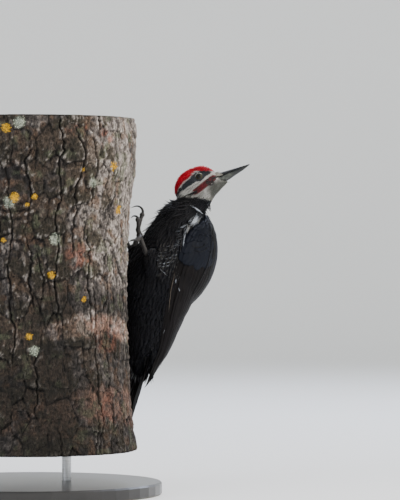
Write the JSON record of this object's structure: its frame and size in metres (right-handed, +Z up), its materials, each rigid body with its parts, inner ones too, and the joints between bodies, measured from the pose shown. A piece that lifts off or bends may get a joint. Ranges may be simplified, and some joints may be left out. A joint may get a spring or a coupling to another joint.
{
  "type": "pileated woodpecker on a trunk perch",
  "caption": "Life-size still model of a woodpecker clinging to a cut length of trunk, head turned back over its shoulder, on a round display stand.",
  "frame": {"origin": "middle of the round base's underside, on the floor, on the perch's axis", "axes": "+Z up along the perch; +X from the perch out through the bird's mid-plane, so its back faces +X; +Y towards the bird's right side"},
  "size_m": [0.4649, 0.34, 0.48],
  "materials": {
    "black_plumage": "soft overlapping contour feathers, black with a faint slate gloss",
    "slate_plumage": "smooth wing coverts, slate black",
    "flight_feathers": "stiff flight and tail feathers with shafts, brown black",
    "face_plumage": "short face feathers in white, slate and red stripes",
    "red_plumage": "hair-like crown feathers, scarlet",
    "bill_horn": "satin horn, slate black with a paler lower edge",
    "eye": "wet gloss, yellow iris and black pupil",
    "leg_skin": "matt grey scaled skin",
    "claw_horn": "satin dark horn",
    "bark": "rough fissured bark with lichen",
    "black_base": "satin black lacquer",
    "steel": "brushed"
  },
  "bodies": {
    "root": {"head": "face_plumage", "crest": "red_plumage", "neck": "black_plumage", "torso": "black_plumage", "tail": "flight_feathers", "bill_upper": "bill_horn", "bill_lower": "bill_horn", "stand_base": "black_base", "stand_rod_back": "steel", "stand_rod_front": "steel", "stand_perch": "bark", "eye_left": "eye", "wing_left": "slate_plumage", "primaries_left": "flight_feathers", "thigh_left": "black_plumage", "tarsus_left": "leg_skin", "foot_left": "leg_skin", "claw_left_inner": "claw_horn", "claw_left_outer": "claw_horn", "claw_left_side": "claw_horn", "claw_left_hind": "claw_horn", "eye_right": "eye", "wing_right": "slate_plumage", "primaries_right": "flight_feathers", "thigh_right": "black_plumage", "tarsus_right": "leg_skin", "foot_right": "leg_skin", "claw_right_inner": "claw_horn", "claw_right_outer": "claw_horn", "claw_right_side": "claw_horn", "claw_right_hind": "claw_horn"}
  },
  "joints": []
}
